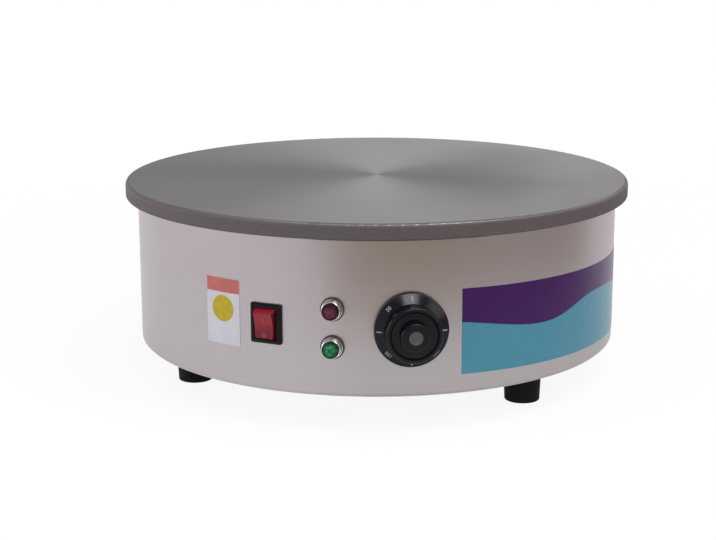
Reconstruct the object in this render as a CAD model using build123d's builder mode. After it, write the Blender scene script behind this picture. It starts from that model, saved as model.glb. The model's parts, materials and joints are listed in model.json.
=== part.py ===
from build123d import *
import os
from math import cos, radians, sin, sqrt, tan

# A round countertop crepe maker: a cast griddle plate on a rolled stainless steel drum, with a rocker
# switch, two pilot lamps and a thermostat knob on the front of the drum.
# Frame: origin on the table under the middle of the plate, +Z up, the front of the drum towards -Y.
# An angle round the drum is counted from the front, positive to the right as a user sees it.

# ---------------------------------------------------------------- sizes, in millimetres and degrees

# Overall
overall_height = 155.0
seat_gap = 0.05  # between pieces that rest on each other
hole_clearance = 0.05  # radial, round a screw or a pin

# Griddle plate
plate_diameter = 400.0
plate_rim_height = 11.8
plate_top_edge = 3.0
plate_lower_edge = 1.2
pad_diameter = 340.0
pad_height = 2.0
groove_depth = 3.0
groove_clearance = 0.15

# Drum shell, rolled from sheet
drum_diameter = 381.0
drum_wall = 1.0
drum_bend = 1.6
top_flange_width = 12.0
bottom_flange_width = 14.0

# Base plate
base_thickness = 1.0
base_inset = 2.5
base_screw_count = 6
base_screw_turn = 12.0
base_screw_diameter = 4.0
base_screw_reach = 4.5
base_screw_inset = 10.0  # from the drum's face
base_screw_head = 1.2
vent_count = 12
vent_length = 40.0
vent_width = 5.0
vent_circle = 140.0

# Feet
foot_height = 27.5
foot_top_diameter = 29.0
foot_bottom_diameter = 26.6
foot_edge = 1.2
foot_circle = 306.0
foot_angles = {"front_left": -56.0, "front_right": 60.0, "rear": 182.0}
foot_pocket_diameter = 15.0
foot_pocket_depth = 14.0
foot_screw_diameter = 5.0
washer_thickness = 1.0

# Fasteners, as shares of the thread diameter
hexagon = cos(radians(30))  # width across the flats over width across the corners
nut_width_ratio = 1.7
nut_height_ratio = 0.8
head_width_ratio = 1.9
head_height_ratio = 0.6
washer_width_ratio = 2.4
socket_ratio = 0.5
thread_past_nut = 2.0

# Heating elements: each one is two rings of tube, joined by a return bend
heater_diameter = 8.0
outer_rings = (320.0, 268.0)
inner_rings = (212.0, 160.0)
outer_ring_gap = 25.0
inner_ring_gap = 36.0
heater_bend = 10.0
heater_leg_angle = 135.0
heater_leg_below_pan = 8.0
heater_leg_hole = 11.0
pin_diameter = 4.0
pin_length = 15.0
insulator_diameter = 7.2
insulator_height = 4.0
link_thickness = 1.0
link_width = 9.0
link_sweep = 16.0
link_height = 3.0  # above the end of the pins

# Clamp plate, insulation and heat shield pan
clamp_thickness = 1.5
insulation_thickness = 12.0
layer_inset = 1.5
pan_wall = 1.0
pan_clearance = 0.5
clamp_stud_circle = 240.0
clamp_stud_diameter = 6.0
clamp_stud_engagement = 7.0
clamp_stud_angles = (60.0, 180.0, 300.0)
clamp_pocket_clearance = 1.0
centre_stud_diameter = 10.0
centre_stud_engagement = 8.0
centre_washer_thickness = 2.0

# Tie bar under the pan, which pulls the plate down on the drum
tie_bar_width = 30.0
tie_bar_thickness = 3.0
tie_bar_drop = 12.0
tie_bar_leg_gap = 2.0
tie_bar_foot_gap = 2.5

# Thermostat
knob_angle = 20.95
knob_height = 77.5
thermostat_width = 36.0
thermostat_height = 36.0
thermostat_depth = 40.0
bracket_width = 44.0
bracket_height = 30.0
bracket_thickness = 1.5
bracket_screw_spacing = 28.0
bracket_screw_diameter = 4.0
collar_diameter = 10.0
collar_proud = 1.0
shaft_diameter = 6.0
shaft_inside = 12.0
bulb_diameter = 6.0
bulb_length = 88.0
bulb_offset = 30.0
capillary_diameter = 2.0
capillary_bend = 5.0
capillary_hole = 6.0
capillary_lead = 12.0

# Knob
knob_gap = 1.5
skirt_diameter = 53.2
skirt_rim = 2.4
skirt_height = 5.2
grip_diameter = 40.0
grip_height = 12.6
grip_edge = 1.4
grip_rim = 2.6
dish_depth = 1.2
boss_diameter = 20.6
boss_height = 6.4
boss_edge = 1.2
knob_shell = 2.2
spigot_inset = 4.0
spigot_depth = 2.0
hub_diameter = 12.0
cap_diameter = 9.8
cap_thickness = 1.0
cap_proud = 0.4
shaft_cover = 3.0
knob_screw_diameter = 3.0

# Rocker switch
switch_angle = -10.6
switch_height = 77.8
bezel_width = 24.6
bezel_height = 29.4
bezel_thickness = 2.2
bezel_corner = 1.6
bezel_edge = 1.2
housing_width = 21.0
housing_height = 26.4
housing_depth = 25.0
cutout_clearance = 0.3
rocker_width = 17.4
rocker_height = 22.2
rocker_rise = 6.4
rocker_taper = 15.0
rocker_valley = 1.4
rocker_shell = 1.6
rocker_skirt = 5.0
rocker_clearance = 0.45
rocker_pivot_depth = 0.5
rocker_tilt = 8.0
trunnion_diameter = 2.4
trunnion_length = 1.3
cavity_depth = 15.0
plunger_diameter = 3.0
blade_length = 15.0
blade_width = 5.0
blade_thickness = 0.8
blade_pivot_depth = 12.4
blade_tilt = 6.0
blade_clearance = 0.1
fulcrum_diameter = 2.0
fulcrum_neck = 1.5
tab_width = 6.3
tab_thickness = 0.8
tab_length = 8.0
tab_seat = 4.0
switch_tab_spacing_x = 10.0
switch_tab_spacing_y = 14.0
thermostat_tab_spacing = 20.0
thermostat_tab_drop = 8.0

# Pilot lamps
lamp_angle = 4.3
lamp_heights = {"red": 91.8, "green": 64.2}
lamp_seal_diameter = 17.2
lamp_seal_thickness = 1.4
lamp_flange_diameter = 15.2
lamp_flange_thickness = 0.8
lamp_sleeve_base = 14.7
lamp_sleeve_tip = 13.8
lamp_sleeve_height = 7.6
lamp_sleeve_edge = 0.4
lamp_lens_diameter = 12.4
lamp_lens_height = 9.0
lamp_dome_height = 1.3
lamp_body_diameter = 12.0
lamp_body_depth = 24.0
lamp_nut_width = 16.0
lamp_nut_thickness = 3.0
lamp_lead_spacing = 6.0

# Cord gland at the back
gland_angle = 180.0
gland_height = 52.0
gland_thread_diameter = 20.0
gland_thread_inside = 9.0
gland_hex_width = 24.0
gland_hex_thickness = 4.0
gland_spigot_diameter = 17.0
gland_spigot_length = 7.0
gland_nut_diameter = 22.0
gland_nut_length = 10.5
gland_nut_front = 2.0
gland_nut_edge = 1.5
gland_seal_diameter = 13.0
gland_seal_length = 8.0
gland_cord_diameter = 9.2
gland_locknut_width = 26.0
gland_locknut_thickness = 4.0

# Terminal block and earth screw on the base plate
block_width = 44.0
block_depth = 22.0
block_height = 20.0
block_offset = 118.0
way_spacing = 14.0
way_height = 8.0
way_clearance = 0.5
way_depth = 6.0
clamp_screw_diameter = 5.0
clamp_screw_length = 7.0
block_screw_spacing = 38.0
earth_diameter = 5.0
earth_place = (62.0, 100.0)
tag_width = 10.0
tag_length = 10.0

# Wires
wire_diameter = 3.0
lead_diameter = 1.6
wire_corner = 12.0
lead_corner = 5.0
short_lead = 10.0
middle_lead = 17.0
long_lead = 24.0
return_lead = 30.0
low_loop = 13.0
high_loop = 19.5
feed_turn = (-12.0, -60.0, 12.0)  # from the terminal block's way: x, place in y, rise
feed_passing = (118.0, 10.0, 62.0)
return_passing = ((-10.0, -40.0, 66.0), (48.0, 30.0, 60.0))

# Films on the drum
film_thickness = 0.2
stripe_start = 32.15
stripe_sweep = 90.0
stripe_bottom = 42.2
stripe_height = 62.7
stripe_fall = 4.3  # from its start to its end
# The wave between the two films: degrees round from the start, and height over the start's bottom.
wave_points = ((0.0, 38.2), (9.4, 33.6), (19.5, 29.4), (25.5, 30.5), (31.0, 34.8), (37.0, 39.7),
               (43.0, 40.9), (58.0, 36.5), (stripe_sweep, 28.0))
label_angle = -21.9
label_bottom = 57.5
label_height = 49.2
label_width = 30.4

# ---------------------------------------------------------------- sizes that follow from those

drum_radius = drum_diameter / 2
drum_inner = drum_radius - drum_wall
base_bottom = foot_height + seat_gap
base_top = base_bottom + base_thickness
drum_bottom = base_top + seat_gap
plate_underside = overall_height - plate_rim_height
drum_top = plate_underside - seat_gap
flange_underside = drum_top - drum_wall

heater_radius = heater_diameter / 2
groove_radius = heater_radius + groove_clearance
pad_face = plate_underside - pad_height
heater_height = pad_face + groove_depth - groove_radius
clamp_top = heater_height - heater_radius - seat_gap
clamp_bottom = clamp_top - clamp_thickness
insulation_top = clamp_bottom - seat_gap
insulation_bottom = insulation_top - insulation_thickness
pan_floor = insulation_bottom - seat_gap
pan_bottom = pan_floor - pan_wall
pan_inner = pad_diameter / 2 + pan_clearance
pan_outer = pan_inner + pan_wall
layer_radius = pan_inner - layer_inset
bar_top = pan_bottom - tie_bar_drop
bar_bottom = bar_top - tie_bar_thickness
leg_end = pan_bottom - heater_leg_below_pan
pin_end = leg_end - pin_length
bulb_height = clamp_top + seat_gap + bulb_diameter / 2


def sag(width):
    """A flat piece behind the round wall touches it at its sides, so its middle stands clear by this much."""
    return drum_inner - sqrt(drum_inner**2 - (width / 2) ** 2)


bracket_sag = sag(bracket_width)
bracket_front = -(drum_wall + bracket_sag + seat_gap)
bracket_back = bracket_front - bracket_thickness
thermostat_back = bracket_back - thermostat_depth

skirt_back = knob_gap
skirt_face = skirt_back + skirt_height
grip_back = skirt_face + seat_gap
grip_face = grip_back + grip_height
boss_face = grip_face - dish_depth + boss_height
hub_back = skirt_back + knob_shell
shaft_tip = grip_face - dish_depth - shaft_cover

pivot_out = seat_gap - rocker_pivot_depth
cavity_floor = seat_gap - cavity_depth
housing_back = seat_gap - housing_depth
switch_tab_end = housing_back - tab_length
thermostat_tab_end = thermostat_back - tab_length

way_z = base_top + seat_gap + way_height
block_front = block_offset - block_depth / 2
way_offsets = (-way_spacing, 0.0, way_spacing)

os.makedirs("parts", exist_ok=True)


# ---------------------------------------------------------------- helpers


def save(piece, name):
    """Labels a finished piece and writes it to its own STEP file."""
    piece.part.label = name
    export_step(piece.part, f"parts/{name}.step")


def wall_plane(angle, height, out=0.0):
    """A plane on the drum wall, or so far out of it: x to the user's right, y up and z outward."""
    turn = radians(angle)
    reach = drum_radius + out
    return Plane(
        origin=(reach * sin(turn), -reach * cos(turn), height),
        x_dir=(cos(turn), sin(turn), 0),
        z_dir=(sin(turn), -cos(turn), 0),
    )


def side_plane(face):
    """The plane that cuts a wall plane down its middle: x outward and y up."""
    return Plane(origin=face.origin, x_dir=face.z_dir, z_dir=face.x_dir)


def tilted(face, out, angle):
    """A plane so far out of a wall plane, turned about x: a positive angle swings its top outward."""
    turn = radians(angle)
    outward = face.z_dir * cos(turn) - face.y_dir * sin(turn)
    return Plane(origin=at(face, 0, 0, out), x_dir=face.x_dir, z_dir=outward)


def at(face, x, y, out):
    """The place of a point given in a wall plane's own coordinates."""
    return face.from_local_coords(Vector(x, y, out))


def round_places(diameter, angles, height):
    """Points on a circle round the drum's axis, at those angles."""
    return [Vector(diameter / 2 * sin(radians(a)), -diameter / 2 * cos(radians(a)), height) for a in angles]


def screws(name, planes, diameter, length, head_width=None, head_height=None):
    """Pan head screws: each plane lies under a head and faces along the shank."""
    width = head_width or head_width_ratio * diameter
    height = head_height or head_height_ratio * diameter
    with BuildPart() as group:
        for plane in planes:
            with BuildSketch(plane):
                Circle(width / 2)
            extrude(amount=-height)
            with BuildSketch(plane):
                Circle(diameter / 2)
            extrude(amount=length)
            with BuildSketch(plane.offset(-height)):
                Rectangle(width * 0.7, diameter * 0.25)
                Rectangle(diameter * 0.25, width * 0.7)
            extrude(amount=height * 0.5, mode=Mode.SUBTRACT)
    save(group, name)


def nuts(name, planes, diameter, width=None, height=None):
    """Hexagon nuts: each plane lies under a nut and faces along the thread."""
    with BuildPart() as group:
        for plane in planes:
            with BuildSketch(plane):
                RegularPolygon((width or nut_width_ratio * diameter) / 2, 6, major_radius=False)
                Circle(diameter / 2 + hole_clearance, mode=Mode.SUBTRACT)
            extrude(amount=height or nut_height_ratio * diameter)
    save(group, name)


def washers(name, planes, diameter, thickness):
    """Flat washers: each plane lies under a washer and faces along the screw."""
    with BuildPart() as group:
        for plane in planes:
            with BuildSketch(plane):
                Circle(washer_width_ratio * diameter / 2)
                Circle(diameter / 2 + hole_clearance, mode=Mode.SUBTRACT)
            extrude(amount=thickness)
    save(group, name)


def studs(name, places, diameter, length):
    """Plain studs that hang down from those places."""
    with BuildPart() as group:
        for place in places:
            with BuildSketch(Plane(origin=place)):
                Circle(diameter / 2)
            extrude(amount=-length)
    save(group, name)


def wires(name, routes, diameter, corner):
    """Wires of round section, each along straight runs with rounded corners."""
    with BuildPart() as group:
        for points in routes:
            with BuildLine() as route:
                FilletPolyline(*points, radius=corner)
            with BuildSketch(Plane(origin=route.line @ 0, z_dir=route.line % 0)):
                Circle(diameter / 2)
            sweep(path=route.line)
    save(group, name)


# ---------------------------------------------------------------- routes of the heating elements

# Seen along this plane's x axis every leg lies at its ring's radius, and a bend's length to one side.
leg_turn = radians(heater_leg_angle)
leg_out = Vector(sin(leg_turn), -cos(leg_turn), 0)
leg_along = Vector(cos(leg_turn), sin(leg_turn), 0)
all_rings = outer_rings + inner_rings


def leg_plane(height):
    """A level plane with x outward along the row of legs and y round the drum."""
    return Plane(origin=(0, 0, height), x_dir=leg_out, z_dir=(0, 0, 1))


def leg_place(ring_diameter, height):
    """The middle of the leg at one end of a ring."""
    return leg_out * (ring_diameter / 2) - leg_along * heater_bend + Vector(0, 0, height)


def ring_place(diameter, angle):
    return round_places(diameter, [angle], heater_height)[0]


def draw_element(rings, gap):
    """The middle line of a tube that rises from one leg, runs round one ring and back round the other."""
    outer, inner = rings
    start = heater_leg_angle
    middle = start + (360 - gap) / 2
    end = start + 360 - gap
    outer_leg = leg_place(outer, leg_end)
    inner_leg = leg_place(inner, leg_end)
    rise = Vector(0, 0, heater_height - heater_bend - leg_end)
    end_turn = radians(end)
    Line(outer_leg, outer_leg + rise)
    TangentArc(outer_leg + rise, ring_place(outer, start), tangent=(0, 0, 1))
    ThreePointArc(ring_place(outer, start), ring_place(outer, middle), ring_place(outer, end))
    end_along = (cos(end_turn), sin(end_turn), 0)
    TangentArc(ring_place(outer, end), ring_place(inner, end), tangent=end_along)
    ThreePointArc(ring_place(inner, end), ring_place(inner, middle), ring_place(inner, start))
    TangentArc(ring_place(inner, start), inner_leg + rise, tangent=-leg_along)
    Line(inner_leg + rise, inner_leg)


# ---------------------------------------------------------------- griddle plate

clamp_stud_places = round_places(clamp_stud_circle, clamp_stud_angles, pad_face)

with BuildPart() as griddle_plate:
    with BuildSketch(Plane.XY.offset(plate_underside)):
        Circle(plate_diameter / 2)
    extrude(amount=plate_rim_height)
    rim_edges = griddle_plate.edges().filter_by(GeomType.CIRCLE).sort_by(Axis.Z)
    fillet(rim_edges[-1], plate_top_edge)
    fillet(rim_edges[0], plate_lower_edge)
    with BuildSketch(Plane.XY.offset(pad_face)):
        Circle(pad_diameter / 2)
    extrude(amount=pad_height)
    for rings, gap in ((outer_rings, outer_ring_gap), (inner_rings, inner_ring_gap)):
        with BuildLine() as groove:
            draw_element(rings, gap)
        with BuildSketch(Plane(origin=leg_place(rings[0], leg_end))):
            Circle(groove_radius)
        sweep(path=groove.line, mode=Mode.SUBTRACT)
    with BuildSketch(Plane.YZ):
        with Locations((bulb_offset, bulb_height)):
            Circle(bulb_diameter / 2 + groove_clearance)
    extrude(amount=bulb_length / 2 + groove_clearance, both=True, mode=Mode.SUBTRACT)
    with BuildSketch(Plane.XY.offset(pad_face)):
        with Locations(*clamp_stud_places):
            Circle(clamp_stud_diameter / 2 + hole_clearance)
    extrude(amount=clamp_stud_engagement + seat_gap, mode=Mode.SUBTRACT)
    with BuildSketch(Plane.XY.offset(pad_face)):
        Circle(centre_stud_diameter / 2 + hole_clearance)
    extrude(amount=centre_stud_engagement + seat_gap, mode=Mode.SUBTRACT)
save(griddle_plate, "griddle_plate")


# ---------------------------------------------------------------- heating elements


def heating_element(name, rings, gap):
    """A bent tube with a terminal pin at each end."""
    legs = [leg_place(ring_diameter, leg_end) for ring_diameter in rings]
    with BuildPart() as element:
        with BuildLine() as route:
            draw_element(rings, gap)
        with BuildSketch(Plane(origin=legs[0])):
            Circle(heater_radius)
        sweep(path=route.line)
        with BuildSketch(Plane.XY.offset(leg_end)):
            with Locations(*[(leg.X, leg.Y) for leg in legs]):
                Circle(pin_diameter / 2)
        extrude(amount=-pin_length)
    save(element, name)


heating_element("outer_element", outer_rings, outer_ring_gap)
heating_element("inner_element", inner_rings, inner_ring_gap)

pin_hole = pin_diameter / 2 + hole_clearance

with BuildPart() as element_insulators:
    with BuildSketch(leg_plane(leg_end - seat_gap)):
        for ring_diameter in all_rings:
            with Locations((ring_diameter / 2, -heater_bend)):
                Circle(insulator_diameter / 2)
                Circle(pin_hole, mode=Mode.SUBTRACT)
    extrude(amount=-insulator_height)
save(element_insulators, "element_insulators")

# One link is a straight strip between the two middle legs, the other goes round them.
link_z = pin_end + link_height
with BuildPart() as element_links:
    with BuildSketch(leg_plane(link_z)):
        for near, far, side in (
            (inner_rings[0], outer_rings[1], 0.0),
            (inner_rings[1], outer_rings[0], link_sweep),
        ):
            corners = [(near / 2, -heater_bend), (near / 2, -heater_bend - side),
                       (far / 2, -heater_bend - side), (far / 2, -heater_bend)]
            runs = list(zip(corners, corners[1:])) if side else [(corners[0], corners[-1])]
            for (x0, y0), (x1, y1) in runs:
                with Locations(((x0 + x1) / 2, (y0 + y1) / 2)):
                    level = 0 if y0 == y1 else 90
                    SlotCenterToCenter(abs(x1 - x0) + abs(y1 - y0), link_width, rotation=level)
        with Locations(*[(ring_diameter / 2, -heater_bend) for ring_diameter in all_rings]):
            Circle(pin_hole, mode=Mode.SUBTRACT)
    extrude(amount=link_thickness)
save(element_links, "element_links")


# ---------------------------------------------------------------- clamp plate, insulation and pan

capillary_place = (bulb_length / 2 + capillary_lead, bulb_offset)
clamp_nut_corner = nut_width_ratio * clamp_stud_diameter / hexagon / 2


def layer(name, top, thickness, stud_hole, centre_hole):
    """A round layer under the plate, with holes for the legs, the capillary and the studs."""
    with BuildPart() as disc:
        with BuildSketch(Plane.XY.offset(top)):
            Circle(layer_radius)
            Circle(centre_hole, mode=Mode.SUBTRACT)
            with Locations(*[(p.X, p.Y) for p in clamp_stud_places]):
                Circle(stud_hole, mode=Mode.SUBTRACT)
            with Locations(capillary_place):
                SlotOverall(capillary_hole * 2, capillary_hole, mode=Mode.SUBTRACT)
        extrude(amount=-thickness)
        with BuildSketch(leg_plane(top)):
            for ring_diameter in all_rings:
                with Locations((ring_diameter / 2, -heater_bend * 0.7)):
                    SlotCenterToCenter(heater_bend * 0.6, heater_leg_hole, rotation=90)
        extrude(amount=-thickness, mode=Mode.SUBTRACT)
    save(disc, name)


layer("clamp_plate", clamp_top, clamp_thickness, clamp_stud_diameter / 2 + hole_clearance,
      centre_stud_diameter / 2 + hole_clearance)
layer("insulation_pad", insulation_top, insulation_thickness, clamp_nut_corner + clamp_pocket_clearance,
      centre_stud_diameter / 2 + hole_clearance)

clamp_nut_height = nut_height_ratio * clamp_stud_diameter
clamp_stud_below = (pad_face - clamp_bottom) + clamp_nut_height + thread_past_nut
studs("clamp_studs", [p + Vector(0, 0, clamp_stud_engagement) for p in clamp_stud_places],
      clamp_stud_diameter, clamp_stud_engagement + clamp_stud_below)
nuts("clamp_nuts",
     [Plane(origin=(p.X, p.Y, clamp_bottom - seat_gap), z_dir=(0, 0, -1)) for p in clamp_stud_places],
     clamp_stud_diameter)

with BuildPart() as heat_shield_pan:
    with BuildSketch(Plane.XY.offset(pan_bottom)):
        Circle(pan_outer)
    extrude(amount=drum_top - pan_bottom)
    fillet(heat_shield_pan.edges().sort_by(Axis.Z)[0], pan_wall * 2)
    with BuildSketch(Plane.XY.offset(pan_floor)):
        Circle(pan_inner)
    extrude(amount=drum_top - pan_floor, mode=Mode.SUBTRACT)
    with BuildSketch(Plane.XY.offset(pan_bottom)):
        Circle(centre_stud_diameter / 2 + hole_clearance)
        with Locations(capillary_place):
            SlotOverall(capillary_hole * 2, capillary_hole)
    extrude(amount=pan_wall, mode=Mode.SUBTRACT)
    with BuildSketch(leg_plane(pan_bottom)):
        with Locations(*[(ring_diameter / 2, -heater_bend) for ring_diameter in all_rings]):
            Circle(heater_leg_hole / 2)
    extrude(amount=pan_wall, mode=Mode.SUBTRACT)
save(heat_shield_pan, "heat_shield_pan")


# ---------------------------------------------------------------- tie bar and centre stud

bar_leg_inner = pan_outer + tie_bar_leg_gap
bar_leg_outer = bar_leg_inner + tie_bar_thickness
bar_foot_end = drum_inner - tie_bar_foot_gap
bar_foot_top = flange_underside - seat_gap
bar_foot_bottom = bar_foot_top - tie_bar_thickness

with BuildPart() as tie_bar:
    with BuildSketch(Plane.XZ):
        with BuildLine():
            Polyline(
                (0, bar_bottom),
                (bar_leg_outer, bar_bottom),
                (bar_leg_outer, bar_foot_bottom),
                (bar_foot_end, bar_foot_bottom),
                (bar_foot_end, bar_foot_top),
                (bar_leg_inner, bar_foot_top),
                (bar_leg_inner, bar_top),
                (0, bar_top),
                close=True,
            )
        make_face()
        mirror(about=Plane.YZ)
    extrude(amount=tie_bar_width / 2, both=True)
    with BuildSketch(Plane.XY.offset(bar_bottom)):
        Circle(centre_stud_diameter / 2 + hole_clearance)
    extrude(amount=tie_bar_thickness, mode=Mode.SUBTRACT)
save(tie_bar, "tie_bar")

centre_nut_height = nut_height_ratio * centre_stud_diameter
stack = seat_gap + centre_washer_thickness + seat_gap
centre_stud_bottom = bar_bottom - stack - centre_nut_height - thread_past_nut
studs("centre_stud", [Vector(0, 0, pad_face + centre_stud_engagement)], centre_stud_diameter,
      pad_face + centre_stud_engagement - centre_stud_bottom)
washers("centre_washers",
        [Plane(origin=(0, 0, z - seat_gap), z_dir=(0, 0, -1)) for z in (pan_bottom, bar_bottom)],
        centre_stud_diameter, centre_washer_thickness)
nuts("centre_nuts", [Plane(origin=(0, 0, z - stack), z_dir=(0, 0, -1)) for z in (pan_bottom, bar_bottom)],
     centre_stud_diameter)


# ---------------------------------------------------------------- drum shell

switch_plane = wall_plane(switch_angle, switch_height)
knob_plane = wall_plane(knob_angle, knob_height)
lamp_planes = {colour: wall_plane(lamp_angle, height) for colour, height in lamp_heights.items()}
gland_plane = wall_plane(gland_angle, gland_height)
cut_depth = 3 * (drum_wall + bracket_sag)
base_screw_circle = drum_diameter - 2 * base_screw_inset
base_screw_angles = [base_screw_turn + 360 * i / base_screw_count for i in range(base_screw_count)]
base_screw_places = round_places(base_screw_circle, base_screw_angles, base_bottom - seat_gap)

with BuildPart() as drum_shell:
    with BuildSketch(Plane.XZ):
        with BuildLine():
            wall_middle = drum_radius - drum_wall / 2
            FilletPolyline(
                (drum_radius - top_flange_width, drum_top - drum_wall / 2),
                (wall_middle, drum_top - drum_wall / 2),
                (wall_middle, drum_bottom + drum_wall / 2),
                (drum_radius - bottom_flange_width, drum_bottom + drum_wall / 2),
                radius=drum_bend,
            )
        trace(line_width=drum_wall)
    revolve(axis=Axis.Z)
    with BuildSketch(switch_plane):
        Rectangle(housing_width + 2 * cutout_clearance, housing_height + 2 * cutout_clearance)
    extrude(amount=cut_depth, both=True, mode=Mode.SUBTRACT)
    for lamp_plane in lamp_planes.values():
        with BuildSketch(lamp_plane):
            Circle(lamp_body_diameter / 2 + cutout_clearance)
        extrude(amount=cut_depth, both=True, mode=Mode.SUBTRACT)
    with BuildSketch(knob_plane):
        Circle(collar_diameter / 2 + cutout_clearance)
        with GridLocations(bracket_screw_spacing, 0, 2, 1):
            Circle(bracket_screw_diameter / 2 + hole_clearance)
    extrude(amount=cut_depth, both=True, mode=Mode.SUBTRACT)
    with BuildSketch(gland_plane):
        Circle(gland_thread_diameter / 2 + cutout_clearance)
    extrude(amount=cut_depth, both=True, mode=Mode.SUBTRACT)
    with BuildSketch(Plane.XY.offset(drum_bottom)):
        with Locations(*[(p.X, p.Y) for p in base_screw_places]):
            Circle(base_screw_diameter / 2 + hole_clearance)
    extrude(amount=drum_wall, mode=Mode.SUBTRACT)
save(drum_shell, "drum_shell")


# ---------------------------------------------------------------- base plate and its screws

foot_places = {name: round_places(foot_circle, [angle], 0)[0] for name, angle in foot_angles.items()}
block_screw_places = [Vector(x, block_offset, base_bottom - seat_gap)
                      for x in (-block_screw_spacing / 2, block_screw_spacing / 2)]

with BuildPart() as base_plate:
    with BuildSketch(Plane.XY.offset(base_bottom)):
        Circle(drum_radius - base_inset)
        with Locations(*[(p.X, p.Y) for p in base_screw_places + block_screw_places]):
            Circle(base_screw_diameter / 2 + hole_clearance, mode=Mode.SUBTRACT)
        with Locations(*[(p.X, p.Y) for p in foot_places.values()]):
            Circle(foot_screw_diameter / 2 + hole_clearance, mode=Mode.SUBTRACT)
        with Locations(earth_place):
            Circle(earth_diameter / 2 + hole_clearance, mode=Mode.SUBTRACT)
        with PolarLocations(vent_circle / 2, vent_count, start_angle=180 / vent_count):
            SlotOverall(vent_length, vent_width, mode=Mode.SUBTRACT)
    extrude(amount=base_thickness)
save(base_plate, "base_plate")

screws("base_screws", [Plane(origin=p) for p in base_screw_places + block_screw_places],
       base_screw_diameter, base_thickness + drum_wall + base_screw_reach, head_height=base_screw_head)


# ---------------------------------------------------------------- feet

foot_nut_height = nut_height_ratio * foot_screw_diameter
foot_screw_seat = foot_pocket_depth - seat_gap - washer_thickness - seat_gap

for foot_name, place in foot_places.items():
    with BuildPart() as foot:
        with BuildSketch(Plane(origin=(place.X, place.Y, 0))):
            Circle(foot_bottom_diameter / 2)
        with BuildSketch(Plane(origin=(place.X, place.Y, foot_height))):
            Circle(foot_top_diameter / 2)
        loft()
        fillet(foot.edges().sort_by(Axis.Z)[0], foot_edge)
        with BuildSketch(Plane(origin=(place.X, place.Y, 0))):
            Circle(foot_pocket_diameter / 2)
        extrude(amount=foot_pocket_depth, mode=Mode.SUBTRACT)
        with BuildSketch(Plane(origin=(place.X, place.Y, 0))):
            Circle(foot_screw_diameter / 2 + hole_clearance)
        extrude(amount=foot_height, mode=Mode.SUBTRACT)
    save(foot, f"foot_{foot_name}")

foot_stack = [Vector(p.X, p.Y, 0) for p in foot_places.values()]
washers("foot_washers", [Plane(origin=p + Vector(0, 0, foot_screw_seat + seat_gap)) for p in foot_stack],
        foot_screw_diameter, washer_thickness)
screws("foot_screws", [Plane(origin=p + Vector(0, 0, foot_screw_seat)) for p in foot_stack],
       foot_screw_diameter, base_top + foot_nut_height + thread_past_nut - foot_screw_seat)
nuts("foot_nuts", [Plane(origin=p + Vector(0, 0, base_top + seat_gap)) for p in foot_stack],
     foot_screw_diameter)


# ---------------------------------------------------------------- rocker switch

rocker_plane = tilted(switch_plane, pivot_out, rocker_tilt)
blade_plane = tilted(switch_plane, seat_gap - blade_pivot_depth, -blade_tilt)
rocker_radius = rocker_height / 2
opening_width = rocker_width + 2 * rocker_clearance
opening_height = rocker_height + 2 * rocker_clearance
plunger_radius = plunger_diameter / 2
saddle_inner = fulcrum_diameter / 2 + hole_clearance
saddle_outer = saddle_inner + blade_thickness
plunger_reach = blade_pivot_depth - rocker_pivot_depth - saddle_outer - blade_clearance
fulcrum_axis = seat_gap - blade_pivot_depth
switch_tab_places = [(x, y) for y in (-switch_tab_spacing_y / 2, switch_tab_spacing_y / 2)
                     for x in (-switch_tab_spacing_x / 2, switch_tab_spacing_x / 2)]

with BuildPart() as switch_housing:
    with BuildSketch(switch_plane.offset(seat_gap)):
        RectangleRounded(bezel_width, bezel_height, bezel_corner)
    extrude(amount=bezel_thickness)
    front_face = switch_housing.faces().sort_by(Axis(switch_plane.origin, switch_plane.z_dir))[-1]
    chamfer(front_face.edges(), bezel_edge)
    with BuildSketch(switch_plane.offset(seat_gap)):
        Rectangle(housing_width, housing_height)
    extrude(amount=-housing_depth)
    with BuildSketch(switch_plane.offset(cavity_floor)):
        Rectangle(opening_width, opening_height)
    extrude(amount=cavity_depth + bezel_thickness, mode=Mode.SUBTRACT)
    with BuildSketch(switch_plane.offset(cavity_floor)):
        Rectangle(opening_width, fulcrum_neck)
    extrude(amount=fulcrum_axis - cavity_floor)
    with BuildSketch(side_plane(blade_plane)):
        Circle(fulcrum_diameter / 2)
    extrude(amount=opening_width / 2, both=True)
    with BuildSketch(side_plane(rocker_plane)):
        Circle(trunnion_diameter / 2 + hole_clearance)
    extrude(amount=rocker_width / 2 + trunnion_length + hole_clearance, both=True, mode=Mode.SUBTRACT)
    with BuildSketch(switch_plane.offset(housing_back)):
        with Locations(*switch_tab_places):
            Rectangle(tab_width + 2 * hole_clearance, tab_thickness + 2 * hole_clearance)
    extrude(amount=tab_seat + seat_gap, mode=Mode.SUBTRACT)
save(switch_housing, "switch_housing")

face_height = rocker_height - 2 * rocker_rise * tan(radians(rocker_taper))
valley_radius = ((face_height / 2) ** 2 + rocker_valley**2) / (2 * rocker_valley)

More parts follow.
